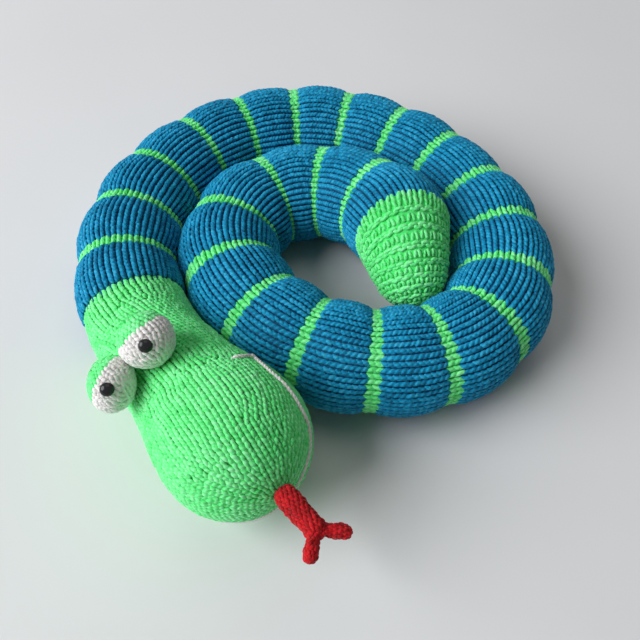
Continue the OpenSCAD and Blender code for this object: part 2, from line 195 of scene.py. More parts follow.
class Skin:
    """A surface round a line. s are stations along it, frames the places there, r the radii, and slope the angles at
    which r grows."""

    def __init__(self, s, frames, r, slope=None):
        self.s = np.asarray(s, float)
        self.frames = np.asarray(frames, float)
        self.r = np.asarray(r, float)
        self.slope = np.zeros(len(self.s)) if slope is None else np.asarray(slope, float)

    def at(self, s, a, h):
        """Points at the stations s and angles a, h over the surface. Past its ends it runs on for a few steps."""
        s, a, h = np.broadcast_arrays(s, a, h)
        i = np.clip(np.searchsorted(self.s, s, "right") - 1, 0, len(self.s) - 2)
        w = np.clip((s - self.s[i]) / (self.s[i + 1] - self.s[i]), -3, 4)
        mix = self.frames[i] + (self.frames[i + 1] - self.frames[i]) * w[..., None, None]
        r = self.r[i] + (self.r[i + 1] - self.r[i]) * w
        slope = self.slope[i] + (self.slope[i + 1] - self.slope[i]) * np.clip(w, 0, 1)
        out = np.maximum(r, 0) + h * np.cos(slope)
        x = -h * np.sin(slope)
        return (mix[..., :3, 3] + mix[..., :3, 0] * x[..., None] + mix[..., :3, 1] * (out * np.cos(a))[..., None]
                + mix[..., :3, 2] * (out * np.sin(a))[..., None])

    def radius(self, s):
        return np.interp(s, self.s, self.r)


def profile_skin(x, r, frame_of):
    """A surface of revolution round a line: its stations are measured along the profile."""
    s = np.concatenate([[0], np.cumsum(np.hypot(np.diff(x), np.diff(r)))])
    slope = np.arctan2(np.gradient(r, s), np.gradient(x, s))
    return Skin(s, [frame_of(v) for v in x], r, slope)


unit_frames = {1: shift(0, 0, BODY_R - REST_FLAT) @ turn(NECK_HEADING)}
for k in range(1, BANDS):
    start = shift(0, 0, REST_FLAT) @ roll(-TAIL_TILT) if k + 1 == TILT_UNIT else np.eye(4)
    unit_frames[k + 1] = unit_frames[k] @ bend_right(*unit_bend(k)) @ start


def frame_at(s):
    k = max(1, min(BANDS, math.ceil((s + STRIPE_W / 2) / BAND_PITCH)))
    r, a = unit_bend(k)
    return unit_frames[k] @ bend_right(r, (s - unit_from(k)) / (unit_to(k) - unit_from(k)) * a)


def knit_frame_at(s):
    """The same place with the roll of the tilted end undone, so that the columns of stitches run on."""
    return frame_at(s) @ roll(TAIL_TILT if s > unit_from(TILT_UNIT) else 0)


# Head and its neck bend
head_pitch = math.asin((HEAD_R + CHIN_LIFT - BODY_R + REST_FLAT) / CHEEK_AT)
neck_frame = frame_at(0) @ turn(180)
way = np.array([math.cos(head_pitch) * math.cos(math.radians(HEAD_TURN)),
                math.cos(head_pitch) * math.sin(math.radians(HEAD_TURN)),
                math.sin(head_pitch)])
neck_turn = math.degrees(math.acos(way[0]))
neck_roll = math.degrees(math.atan2(way[2], way[1]))
bend_len = NECK_BEND_R * math.radians(neck_turn)


def neck_bend(share):
    return (roll(neck_roll) @ shift(0, NECK_BEND_R, 0) @ turn(neck_turn * share) @ shift(0, -NECK_BEND_R, 0)
            @ roll(-neck_roll))


head_frame = neck_frame @ neck_bend(1) @ shift(-bend_len, 0, 0)
face_frame = head_frame @ roll(HEAD_ROLL)


def head_place(x):
    return neck_frame @ neck_bend(x / bend_len) if x < bend_len else head_frame @ shift(x, 0, 0)


def ease(t):
    return (1 - np.cos(np.pi * np.clip(t, 0, 1))) / 2


def pear_r(x):
    """Radius of the head at x from the neck seam."""
    x = np.asarray(x, float)
    neck = BODY_R + (NECK_R - BODY_R) * ease((x - bend_len) / (NECK_AT - bend_len))
    belly = NECK_R + (HEAD_R - NECK_R) * ease((x - NECK_AT) / (CHEEK_AT - NECK_AT))
    nose = HEAD_R * np.sqrt(np.clip(1 - ((x - CHEEK_AT) / (HEAD_LEN - CHEEK_AT)) ** 2, 0, 1))
    return np.where(x < NECK_AT, neck, np.where(x < CHEEK_AT, belly, nose))


end_frame = frame_at(BODY_LEN)
tail_frame = end_frame @ turn(-TAIL_TURN) @ nod(TAIL_DROP)
tongue_frame = head_frame @ shift(HEAD_LEN + TONGUE_GAP + TONGUE_ROOT_R, 0, TONGUE_RISE) @ roll(-TONGUE_ROLL)

# The CAD model stands in the middle of its own width and depth
prong_end = np.array([TONGUE_LEN + PRONG_LEN * math.cos(math.radians(PRONG_A)),
                      -PRONG_LEN * math.sin(math.radians(PRONG_A)), 0, 1])
body_places = np.array([frame_at(s)[:3, 3] for s in np.arange(0, BODY_LEN, 2)])
front_y = min(body_places[:, 1].min() - BODY_R, (tongue_frame @ prong_end)[1] - PRONG_TIP_R)
MIDDLE = np.array([(body_places[:, 0].min() + body_places[:, 0].max()) / 2,
                   (front_y + body_places[:, 1].max() + BODY_R) / 2, 0])


# ---------------------------------------------------------------- meshes
class Cloth:
    """Collects the vertices and faces of one piece."""

    def __init__(self):
        self.co, self.faces, self.sizes, self.uv, self.tint = [], [], [], [], []
        self.count = 0

    def add(self, co, faces, uv, tint):
        """co (n, 3); faces (m, corners) of this block; uv (m, corners, 2); tint (m,)."""
        self.co.append(co.reshape(-1, 3))
        self.faces.append((faces + self.count).reshape(-1))
        self.sizes.append(np.full(len(faces), faces.shape[1]))
        self.uv.append(uv.reshape(-1, 2))
        self.tint.append(np.asarray(tint, float).reshape(-1))
        self.count += co.reshape(-1, 3).shape[0]

    def tubes(self, centre, out, radius, flat=1.0, sides=6, tint=None):
        """Closed tubes through centre (n, k, 3) with outward directions out (n, k, 3) and radii (n, k)."""
        n, k, _ = centre.shape
        along = np.gradient(centre, axis=1)
        along /= np.linalg.norm(along, axis=2, keepdims=True) + 1e-9
        side = np.cross(out, along)
        side /= np.linalg.norm(side, axis=2, keepdims=True) + 1e-9
        up = np.cross(along, side)
        phi = np.arange(sides) * 2 * np.pi / sides
        ring = (side[:, :, None] * np.cos(phi)[None, None, :, None]
                + up[:, :, None] * (np.sin(phi) * flat)[None, None, :, None])
        co = centre[:, :, None] + ring * radius[:, :, None, None]
        base = (np.arange(n) * k * sides)[:, None, None]
        i, j = np.meshgrid(np.arange(k - 1), np.arange(sides), indexing="ij")
        nx = (j + 1) % sides
        quad = np.stack([i * sides + j, i * sides + nx, (i + 1) * sides + nx, (i + 1) * sides + j], -1)
        quad = (quad.reshape(1, -1, 4) + base).reshape(-1, 4)
        u0, u1 = j / sides, (j + 1) / sides
        v0, v1 = i / (k - 1), (i + 1) / (k - 1)
        uv = np.stack([np.stack(corner, -1) for corner in ((u0, v0), (u1, v0), (u1, v1), (u0, v1))], -2)
        uv = np.broadcast_to(uv.reshape(1, -1, 4, 2), (n, (k - 1) * sides, 4, 2))
        tint = random.random(n) if tint is None else np.broadcast_to(tint, (n,))
        self.add(co, quad, uv.reshape(-1, 4, 2), np.repeat(tint, (k - 1) * sides))
        # The end faces use the vertices that have just been added
        first = np.arange(sides)[::-1][None] + base[:, 0]
        last = np.arange(sides)[None] + base[:, 0] + (k - 1) * sides
        ends = np.concatenate([first, last]) - n * k * sides
        self.add(np.zeros((0, 3)), ends, np.full((2 * n, sides, 2), 0.5), np.concatenate([tint, tint]))

    def sheet(self, grid, tint=0.5):
        """A surface through grid (rows, columns, 3), closed round its columns."""
        rows, cols, _ = grid.shape
        i, j = np.meshgrid(np.arange(rows - 1), np.arange(cols), indexing="ij")
        nx = (j + 1) % cols
        quad = np.stack([i * cols + j, (i + 1) * cols + j, (i + 1) * cols + nx, i * cols + nx], -1).reshape(-1, 4)
        self.add(grid, quad, np.full((len(quad), 4, 2), 0.5), np.full(len(quad), tint))

    def piece(self, name, material, fix=None):
        """The object made of all this. fix may move its vertices."""
        co = np.concatenate(self.co)
        if fix is not None:
            co = fix(co)
        co = (co - MIDDLE) * MM
        loops = np.concatenate(self.faces).astype(np.int32)
        sizes = np.concatenate(self.sizes).astype(np.int32)
        me = bpy.data.meshes.new(name)
        me.vertices.add(len(co))
        me.vertices.foreach_set("co", co.astype(np.float32).ravel())
        me.loops.add(len(loops))
        me.loops.foreach_set("vertex_index", loops)
        me.polygons.add(len(sizes))
        me.polygons.foreach_set("loop_start", np.concatenate([[0], np.cumsum(sizes)[:-1]]).astype(np.int32))
        me.update(calc_edges=True)
        me.polygons.foreach_set("use_smooth", np.ones(len(sizes), bool))
        uv = me.uv_layers.new(name="yarn")
        uv.data.foreach_set("uv", np.concatenate(self.uv).astype(np.float32).ravel())
        tint = me.attributes.new("tint", "FLOAT", "FACE")
        tint.data.foreach_set("value", np.concatenate(self.tint).astype(np.float32))
        me.materials.append(material)
        me.validate()
        ob = bpy.data.objects.new(name, me)
        bpy.context.collection.objects.link(ob)
        return ob


def on_table(co):
    """Yarn that would reach into the table lies flat on it."""
    co = co.copy()
    co[:, 2] = np.maximum(co[:, 2], TABLE)
    return co


# ---------------------------------------------------------------- stitches
# Shares of a piece of yarn at which its rings stand
LEG = np.array([0.0, 0.16, 0.4, 0.62, 0.84, 1.0])
ARCH = np.linspace(0, 1, 6)


def ring(n, phase=0.5):
    """Angles and widths of n equal stitches in a round."""
    return (np.arange(n) + phase) * 2 * np.pi / n, np.full(n, 2 * np.pi / n)


def stamp(cloth, skin, s, a, wide, high, path, radius, slant=0.0, loose=1.0, tint=None):
    """One piece of yarn for each stitch. s, a, wide and high are the stitches' stations, angles, widths as angles and
    heights. path gives across (in widths), along (in heights) and out (mm) at each ring."""
    n = len(s)
    across, along, out = path
    lean = 1 + VARY_WIDE * loose * random.standard_normal(n)
    lift = VARY_LIFT * loose * random.standard_normal(n)
    fat = 1 + VARY_FAT * loose * random.standard_normal(n)
    slip = VARY_SLIP * loose * random.standard_normal(n)
    rise = high[:, None] * (along[None] + slip[:, None])
    angle = a[:, None] + wide[:, None] * across[None] * lean[:, None] + slant * rise
    height = out[None] + lift[:, None]
    centre = skin.at(s[:, None] + rise, angle, height)
    normal = skin.at(s[:, None] + rise, angle, height + 0.5) - centre
    cloth.tubes(centre, normal, radius[None] * fat[:, None], flat=0.85, tint=tint)


def lay(rows, towards=1):
    """Stations, angles, widths and heights of all stitches in rows of (station, height, (angles, widths))."""
    parts = [(np.full(len(at), s0), at, wide, np.full(len(at), towards * h)) for s0, h, (at, wide) in rows]
    return [np.concatenate(v) for v in zip(*parts)]


def stitches(cloth, skin, rows, towards=-1, fat=1.1, sink=0.0, loose=1.0, slant=0.0, relief=0.6, tint=None):
    """Rows of V stitches; towards is the way that the V opens along the stations, relief how far its ends dip."""
    s, a, wide, high = lay(rows, towards)
    for side in (-1, 1):
        across = side * (0.155 + 0.19 * LEG ** 0.85)
        along = -0.55 + 1.55 * LEG
        out = -0.2 - relief * (1 - np.sin(np.pi * (0.08 + 0.86 * LEG))) - sink
        radius = fat * (0.55 + 0.45 * np.sin(np.pi * (0.06 + 0.88 * LEG)))
        stamp(cloth, skin, s, a, wide, high, (across, along, out), radius, slant, loose, tint)


def ridges(cloth, skin, rows):
    """Garter ridges: a row of arches and, half a stitch on, a row of cups under it."""
    s, a, wide, high = lay(rows)
    bow = np.sin(np.pi * ARCH)
    for cup in (0, 1):
        across = (ARCH - 0.5) * 0.98
        along = (1 if cup else -1) * (0.03 + 0.17 * bow)
        out = -0.55 + (0.42 - 0.1 * cup) * bow
        stamp(cloth, skin, s, a + wide * 0.5 * cup, wide, high, (across, along, out), 0.78 + 0.22 * bow, loose=1.3)


def legs(cloth, skin, rows):
    """Upright legs in the hollow between two ridges, closed to an arch at one end."""
    s, a, wide, high = lay(rows)
    bow = np.sin(np.pi * ARCH)
    for side in (-1, 1):
        across = side * (0.06 + 0.24 * ARCH ** 0.5)
        along = -0.42 + 0.84 * ARCH
        out = -0.5 + 0.25 * bow
        stamp(cloth, skin, s, a, wide, high, (across, along, out), 0.9 * (0.8 + 0.2 * bow), loose=1.3)


def backing(cloth, skin, s0, s1, depth=1.0, columns=60, step=2.0, tint=-1.0):
    """Closed cloth behind the stitches, which shows between them. A low tint makes it dark: painted shade between the
    stitches.
    """
    s = np.linspace(s0, s1, max(2, int(abs(s1 - s0) / step) + 1))
    a = np.arange(columns) * 2 * np.pi / columns
    cloth.sheet(skin.at(s[:, None], a[None], -depth), tint)


# ---------------------------------------------------------------- materials
def srgb(r, g, b):
    def linear(c):
        c /= 255
        return c / 12.92 if c <= 0.04045 else ((c + 0.055) / 1.055) ** 2.4
    return (linear(r), linear(g), linear(b), 1.0)


def node(tree, kind, inputs=None, **settings):
    """A new node. Each input is a value, or the output that it is linked to."""
    new = tree.nodes.new("ShaderNode" + kind)
    for name, value in settings.items():
        setattr(new, name, value)
    for key, value in (inputs or {}).items():
        if isinstance(value, bpy.types.NodeSocket):
            tree.links.new(value, new.inputs[key])
        else:
            new.inputs[key].default_value = value
    return new


def calc(tree, operation, *values, clamp=False):
    return node(tree, "Math", dict(enumerate(values)), operation=operation, use_clamp=clamp).outputs[0]


def noise(tree, scale, detail=2.0):
    place = node(tree, "TexCoord").outputs["Object"]
    return node(tree, "TexNoise", {"Vector": place, "Scale": scale, "Detail": detail}).outputs["Fac"]


def ramp(tree, value, stops):
    """The colour that value picks from stops of (position, colour)."""
    new = node(tree, "ValToRGB", {0: value})
    elements = new.color_ramp.elements
    for element, (position, colour) in zip(elements, (stops[0], stops[-1])):
        element.position, element.color = position, colour
    for position, colour in stops[1:-1]:
        elements.new(position).color = colour
    return new.outputs[0]


def new_material(name):
    m = bpy.data.materials.new(name)
    m.use_nodes = True
    m.node_tree.nodes.clear()
    return m, m.node_tree


def yarn_material(name, dark, mid, light, sheen=0.7):
    m, tree = new_material(name)
    fibre, patch = noise(tree, 900, 3), noise(tree, 45)
    # The tint is random for each stitch. Its low values on the backing and on the eyeballs' rows next to the head are
    # painted shade
    tint = node(tree, "Attribute", attribute_name="tint").outputs["Fac"]
    # Two plies: bright and dark lines that wind round the yarn
    uv = node(tree, "UVMap", uv_map="yarn").outputs[0]
    parts = node(tree, "SeparateXYZ", {0: uv}).outputs
    turns = calc(tree, "MULTIPLY_ADD", parts["Y"], 2.0, calc(tree, "MULTIPLY", parts["X"], 2.0))
    plies = calc(tree, "SINE", calc(tree, "MULTIPLY", turns, 2 * math.pi))
    # Patches, the tint of the stitch, fibres and plies together pick the colour
    shade = calc(tree, "MULTIPLY", patch, 0.3)
    for value, part in ((tint, 0.2), (fibre, 0.45), (plies, 0.07)):
        shade = calc(tree, "MULTIPLY_ADD", value, part, shade)
    height = calc(tree, "MULTIPLY_ADD", plies, 0.5, fibre)
    bump = node(tree, "Bump", {"Strength": 0.35, "Distance": 0.25 * MM, "Height": height})
    shader = node(tree, "BsdfPrincipled", {
        "Base Color": ramp(tree, shade, [(0.2, dark), (0.5, mid), (0.85, light)]),
        "Normal": bump.outputs[0],
        "Roughness": 0.8,
        "Specular IOR Level": 0.25,
        "Sheen Weight": sheen,
        "Sheen Roughness": 0.4,
        "Sheen Tint": [0.25 + 0.75 * c for c in light],
    })
    node(tree, "OutputMaterial", {0: shader.outputs[0]})
    return m


def plastic(name, scale, dark, light, inputs):
    m, tree = new_material(name)
    colour = ramp(tree, noise(tree, scale), [(0, dark), (1, light)])
    shader = node(tree, "BsdfPrincipled", {"Base Color": colour, **inputs})
    node(tree, "OutputMaterial", {0: shader.outputs[0]})
    return m


BLUE = yarn_material("blue_yarn", srgb(0, 80, 117), srgb(3, 147, 194), srgb(76, 197, 237), sheen=0.2)
GREEN = yarn_material("green_yarn", srgb(52, 216, 96), srgb(118, 250, 152), srgb(180, 255, 204))
WHITE = yarn_material("white_yarn", srgb(226, 221, 219), srgb(243, 239, 238), srgb(248, 246, 245), sheen=0.0)
RED = yarn_material("red_yarn", srgb(112, 2, 8), srgb(192, 14, 24), srgb(228, 44, 50))
BLACK = plastic("eye_plastic", 700, (0.004, 0.004, 0.005, 1), (0.012, 0.012, 0.014, 1),
                {"Roughness": 0.16, "Specular IOR Level": 0.3})
WASHER = plastic("washer_plastic", 300, srgb(214, 212, 206), srgb(238, 237, 232), {"Roughness": 0.45})


def finish_piece(ob, body, nodes, blend=None):
    if blend:
        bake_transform(ob)
    else:
        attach(ob, body)
    if nodes:
        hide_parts(*nodes)


# ---------------------------------------------------------------- body
PUFF = PUFF_MEAN + PUFF_SPREAD * random.standard_normal(BANDS)


def puff(s):
    """Height of the stuffed bands over their lowest place."""
    k = np.clip(np.ceil((np.asarray(s, float) + STRIPE_W / 2) / BAND_PITCH), 1, BANDS).astype(int)
    first = np.array([band_from(i) for i in range(1, BANDS + 1)])[k - 1]
    last = np.array([unit_to(i) for i in range(1, BANDS + 1)])[k - 1]
    share = np.clip((s - first) / (last - first), 0, 1)
    return PUFF[k - 1] * np.sin(np.pi * share) ** 0.6


stations = np.arange(0, BODY_LEN + 0.5, 0.8)
body_skin = Skin(stations, [knit_frame_at(min(s, BODY_LEN - 1e-6)) for s in stations],
                 BODY_R - SINK - DRAWN_IN + puff(stations))


def band_rows(k):
    """Rows of a blue band. The head covers the first two of band 1."""
    s0, s1 = band_from(k), unit_to(k)
    n = round((s1 - s0) / ROW)
    h = (s1 - s0) / n
    return [(s0 + h * (i + 0.5), h, ring(STITCHES)) for i in range(2 if k == 1 else 0, n)]


def stripe_rows(k):
    h = STRIPE_W / 2
    return [(unit_to(k) + h * (i + 0.5), h, ring(STITCHES)) for i in range(2)]


def band_piece(name, ks, body, nodes, blend=None):
    cloth = Cloth()
    for k in ks:
        stitches(cloth, body_skin, band_rows(k))
        backing(cloth, body_skin, band_from(k), unit_to(k))
    finish_piece(cloth.piece(name, BLUE, on_table), body, nodes, blend)


def stripe_piece(name, ks, body, nodes):
    cloth = Cloth()
    for k in ks:
        stitches(cloth, body_skin, stripe_rows(k))
        backing(cloth, body_skin, unit_to(k), unit_to(k) + STRIPE_W, step=1.0)
    finish_piece(cloth.piece(name, GREEN, on_table), body, nodes)


for run, (k0, k1) in RUNS.items():
    ks = list(range(k0 + 1, k1 + 1))
    groups = [ks[i:i + 3] for i in range(0, len(ks), 3)]
    for i, group in enumerate(groups):
        nodes = [f"band_{k:02d}" for k in group] + ([f"{run}_filling"] if i == 0 else [])
        band_piece(f"{run}_bands_{i + 1}", group, run, nodes)
    stripe_piece(f"{run}_stripe_rows", range(k0, k1 + 1), run, [f"{run}_stripes"])
for k, (a, b) in SOFT.items():
    # Two points just inside the band, and in band 1 clear of the head's edge, are passed on with the two lengths that
    # the band joins
    start = frame_at(band_from(k) + (6 if k == 1 else 1))[:3, 3]
    end = frame_at(unit_to(k) - 1)[:3, 3]
    band_piece(f"soft_band_{k:02d}", [k], None, [f"band_{k:02d}", f"band_filling_{k:02d}"], (a, b, start, end))


# ---------------------------------------------------------------- head
def head_profile():
    """Places and radii of the head's knitting, from a little behind the neck seam, where it is drawn in."""
    nose = CHEEK_AT + (HEAD_LEN - CHEEK_AT) * np.sin(np.radians(np.arange(0, 90.1, 2)))
    x = np.concatenate([np.arange(-6, CHEEK_AT, 1.0), nose])
    r = np.where(x < bend_len, BODY_R, pear_r(x))
    r[-1] = 0.0
    drawn = DRAWN_IN * np.exp(-np.abs(x + 4) / 4)
    return x, r - (SINK + drawn) * (r > SINK)


head_x, head_r = head_profile()
head_skin = profile_skin(head_x, head_r, head_place)
neck_s = float(np.interp(0, head_x, head_skin.s))
# Columns that don't run on from the body start on the neck, and every other one of them 52 mm further on
born = np.flatnonzero(np.diff(np.arange(HEAD_STITCHES + 1) * (HEAD_STITCHES - STITCHES) // HEAD_STITCHES))
order = np.arange(len(born))
birth = np.full(HEAD_STITCHES, -100.0)
birth[born] = 4 + 12 * (order * 8 % len(born)) / (len(born) - 1) + 52 * (order % 2)
# Part of the head's full radius at which each column ends on the nose
ENDS = np.array([0.0, 0.55, 0.3, 0.8, 0.18, 0.68, 0.42, 0.93])[np.arange(HEAD_STITCHES) % 8]


def twist(s):
    """How far the columns have wound round the head, in radians, at s from the neck seam."""
    return np.interp(s, [0, 45, 60, 110], [0, -0.5, -0.55, -0.4])


def head_columns(s):
    """Angles and widths of the stitches in the row at station s, for whole and nearly whole columns."""
    share = float(head_skin.radius(s)) / HEAD_R if s > head_skin.s[-1] / 2 else 1.0
    w = np.clip((s - neck_s - birth) / 8, 0, 1) * np.clip((share - ENDS) / 0.08 + 0.5, 0, 1)
    edge = np.cumsum(w)
    a = 2 * np.pi * (edge - w / 2) / edge[-1] - np.pi / STITCHES + twist(s - neck_s)
    whole = w > 0.4
    return a[whole], (2 * np.pi * w / edge[-1])[whole]


head_rows = [(s, ROW, head_columns(s)) for s in np.arange(neck_s - 1.5 * ROW, head_skin.s[-1] - 1, ROW)]
for name, lo, hi, nodes in (("neck_and_brow", 0, HEAD_SPLIT, ["head_cover", "head_filling"]),
                            ("cheeks_and_snout", HEAD_SPLIT, head_skin.s[-1], [])):
    cloth = Cloth()
    for row in head_rows:
        s, _, (_, widths) = row
        if lo <= s < hi:
            slant = (twist(s - neck_s + 1) - twist(s - neck_s - 1)) / 2
            full = min(1.0, float(widths.mean() * max(head_skin.radius(s), 3)) / HEAD_FULL_STITCH)
            stitches(cloth, head_skin, [row], towards=1, fat=0.74 + 0.36 * full, slant=slant, relief=0.5)
    backing(cloth, head_skin, max(lo - 1, 1), hi)
    finish_piece(cloth.piece(name, GREEN, on_table), "head", nodes)

# Mouth: a plied yarn laid on the face, with a short stitch across its corner. Points are (x, height) on the face
MOUTH = np.array([(69.5, 0.5), (72.5, 2.4), (76, 4.2), (81.5, 5.6), (87.8, 6.0), (97.7, 2.9), (104.9, -0.5),
                  (108.6, -4.0), (112.9, -6.2), (116.7, -6.6), (119.4, -6.6), (121.3, -6.6)])
TICK = np.array([(71.8, 3.0), (73.8, 9.5), (73.5, 15.0)])
# The far side of the mouth sits lower, by this much at the most, between these places
FAR_LOWER, FAR_FROM, FAR_LEN = 5.0, 52, 69.3
# The ends of the yarn go into the head
YARN_UP, YARN_ENDS = 0.2, (-1.6, -0.9, -0.2)


def smooth_line(points, n):
    """Catmull-Rom curve through the points."""
    p = np.vstack([2 * points[0] - points[1], points, 2 * points[-1] - points[-2]])
    t = np.linspace(0, len(points) - 1 - 1e-9, n)
    i = t.astype(int)
    f = (t - i)[:, None]
    a, b, c, d = p[i], p[i + 1], p[i + 2], p[i + 3]
    return 0.5 * (2 * b + (c - a) * f + (2 * a - 5 * b + 4 * c - d) * f ** 2 + (3 * b - a - 3 * c + d) * f ** 3)


def on_face(x, up, side, h):
    r = pear_r(x) + h
    up = np.clip(up, -r, r)
    y = side * np.sqrt(r ** 2 - up ** 2)
    local = np.stack([x, y, up, np.ones_like(x)], -1)
    return (local @ face_frame.T)[..., :3]


def plied(cloth, line, out):
    """Plies that wind round a line of points."""
    step = np.linalg.norm(np.diff(line, axis=0), axis=1)
    length = np.concatenate([[0], np.cumsum(step)])
    along = np.gradient(line, axis=0)
    along /= np.linalg.norm(along, axis=1, keepdims=True)
    side = np.cross(out, along)
    side /= np.linalg.norm(side, axis=1, keepdims=True)
    up = np.cross(along, side)
    for ply in range(PLIES):
        phi = 2 * np.pi * (length / PLY_TWIST + ply / PLIES)
        centre = line + (side * np.cos(phi)[:, None] + up * np.sin(phi)[:, None]) * PLY_R * PLY_OUT
        radius = np.full(len(line), PLY_R)
        radius[[0, -1]] *= 0.5
        cloth.tubes(centre[None], out[None], radius[None], sides=8)


cloth = Cloth()
for side in (1, -1):
    for points, n in ((MOUTH, 110), (TICK, 22)):
        x, up = smooth_line(points, n).T
        if side < 0:
            up = up - FAR_LOWER * np.sin(np.pi * np.clip((x - FAR_FROM) / FAR_LEN, 0, 1))
        h = np.full(n, YARN_UP)
        h[:3] = YARN_ENDS
        h[-3:] = h[2::-1]
        line = on_face(x, up, side, h)
        # Outwards is away from the head's middle line, and on the nose from the middle of the ball
        heart = np.stack([np.minimum(x, CHEEK_AT), np.zeros(n), np.zeros(n), np.ones(n)], -1) @ face_frame.T
        out = line - heart[:, :3]
        plied(cloth, line, out / np.linalg.norm(out, axis=1, keepdims=True))
finish_piece(cloth.piece("mouth_line", WHITE), "head", ["mouth_yarn"])

# Eyes
eye_out = float(pear_r(EYE_AT)) + EYE_R - EYE_SEAT
eye_spread = math.degrees(math.asin((2 * EYE_R + EYE_GAP) / 2 / eye_out))
seat_half = math.sqrt(EYE_R ** 2 - (EYE_R - EYE_SEAT) ** 2)
seat_r = pear_r(np.array([EYE_AT - seat_half, EYE_AT + seat_half]))
seat_slope = math.degrees(math.atan2(seat_r[1] - seat_r[0], 2 * seat_half))


def eye_frame(side):
    a = math.radians(eye_spread)
    return face_frame @ shift(EYE_AT, side * eye_out * math.sin(a), eye_out * math.cos(a))


def seated(side):
    """Moves what would reach into the head out to the seat where the eyeball is sewn on, and makes the right ball
    narrower."""
    seat = (face_frame @ shift(EYE_AT, 0, 0) @ roll(-side * eye_spread) @ shift(0, 0, seat_r.mean() + 0.1)
            @ nod(-seat_slope))
    normal, place = seat[:3, 2], seat[:3, 3]

    def fix(co):
        depth = (co - place) @ normal
        co = co - np.minimum(depth, 0)[:, None] * normal
        if side < 0:
            co = co - EYE_NARROW * ((co - eye_frame(side)[:3, 3]) @ RIGHTWARD)[:, None] * RIGHTWARD
        return co
    return fix


def ball_skin(at):
    """A ball with its stations measured from the pole on the frame's +x."""
    s = np.linspace(0, math.pi * EYE_R, 60)
    phi = s / EYE_R
    turned = at @ turn(180)
    frames = [turned @ shift(-EYE_R * math.cos(p), 0, 0) for p in phi]
    return Skin(s, frames, EYE_R * np.sin(phi), np.pi / 2 - phi)


def eye_round(s):
    return ring(max(5, round(2 * math.pi * EYE_R * math.sin(s / EYE_R) / EYE_STITCH)), 0)


ball_s = math.pi * EYE_R
seam_s = EYE_R * math.acos(-EYE_SEAM / EYE_R)
for side, label in ((1, "left"), (-1, "right")):
    skin = ball_skin(eye_frame(side) @ turn(-side * EYE_TOE) @ nod(EYE_TIP))
    rows = [(s, EYE_ROW, eye_round(s)) for s in np.arange(seam_s % EYE_ROW, ball_s - 1.2, EYE_ROW)]
    white_to = seam_s - 2.4 - 0.4 * side
    for part, material, slot, lo, hi, nodes in (
            ("white", WHITE, "white_knit", 0.0, white_to, [f"eye_white_{label}", f"eye_filling_{label}"]),
            ("back", GREEN, "green_knit", white_to, ball_s, [f"eye_back_{label}"])):
        cloth = Cloth()
        for row in rows:
            if lo <= row[0] < hi:
                # The rows next to the head get a low tint, so they are darker: painted shade where the ball meets the
                # head
                tint = np.full(len(row[2][0]), -0.6) if row[0] > seam_s + 5 else None
                stitches(cloth, skin, [row], towards=1, fat=1.12, relief=0.12, tint=tint)
        backing(cloth, skin, lo, hi, depth=0.4, columns=32, step=1.5, tint=0.6)
        finish_piece(cloth.piece(f"eyeball_{part}_{label}", material, seated(side)), "head", nodes)
    # Safety eye: a low dome with a thin rim that stands on the yarn, and its post
    pupil = eye_frame(side) @ turn(PUPIL_SIDE) @ nod(-PUPIL_UP[side])
    rim_x, rim_r = math.sqrt(EYE_R ** 2 - PUPIL_R ** 2) + 0.4, PUPIL_R * 0.95
    post_from, post_r, dome_high = 6.0, 1.2, 2.1
    lathe = [(post_from, post_r), (rim_x - 0.9, post_r), (rim_x - 0.9, PUPIL_R * 0.9), (rim_x - 0.5, rim_r)]
    lathe += [(rim_x - 0.1 + dome_high * math.sin(t), rim_r * math.cos(t)) for t in np.radians(np.arange(0, 90, 7.5))]
    lathe += [(rim_x - 0.1 + dome_high, 0.02)]
    a = np.arange(40) * 2 * np.pi / 40
    grid = np.array([[(x, r * math.cos(v), r * math.sin(v), 1) for v in a] for x, r in lathe]) @ pupil.T
    cloth = Cloth()
    cloth.sheet(grid[..., :3])
    finish_piece(cloth.piece(f"eye_dome_{label}", BLACK), "head", [f"safety_eye_{label}"])
    washer = bpy.data.objects[f"safety_washer_{label}"].data.materials
    washer.clear()
    washer.append(WASHER)


# ---------------------------------------------------------------- tongue
def limb_skin(at, profile):
    """A surface of revolution on the frame's x through points of (x, radius)."""
    x, r = np.array(profile).T
    fine = np.linspace(0, 1, 60)
    knots = np.linspace(0, 1, len(x))
    x, r = np.interp(fine, knots, x), np.interp(fine, knots, r)
    return profile_skin(x, r, lambda v: at @ shift(v, 0, 0))


def round_end(x, r, n=7):
    return [(x + r * math.sin(t), r * math.cos(t)) for t in np.radians(np.linspace(0, 89, n))]


cloth = Cloth()
stem = [(-4.8, 3.6), (-2.5, 4.3), (0, 4.6), (4, 4.4), (8, 4.2)] + round_end(TONGUE_LEN, TONGUE_R, 5)
prong = [(0.5, PRONG_R - 0.3), (5, PRONG_R - 0.5), (PRONG_LEN - 4, PRONG_TIP_R - 0.5)]
prong += round_end(PRONG_LEN - 2, PRONG_TIP_R - 0.5)
limbs = [(tongue_frame, stem, 7)]
for side in (1, -1):
    limbs.append((tongue_frame @ shift(TONGUE_LEN, 0, 0) @ turn(side * PRONG_A), prong, 5))
for at, profile, n in limbs:
    skin = limb_skin(at, profile)
    rows = []
    for i, s in enumerate(np.arange(0.9, skin.s[-1] - 0.3, TONGUE_ROW)):
        share = min(1.0, float(skin.radius(s)) / skin.r.max() + 0.15)
        rows.append((s, TONGUE_ROW, ring(max(3, round(n * share)), 0.25 * (i % 2))))
    stitches(cloth, skin, rows, towards=1, fat=0.95, sink=0.1, loose=1.5, relief=0.45)
    backing(cloth, skin, 0, skin.s[-1], depth=0.9, columns=20, step=1.0)
finish_piece(cloth.piece("tongue_knit", RED), "tongue", ["tongue"])


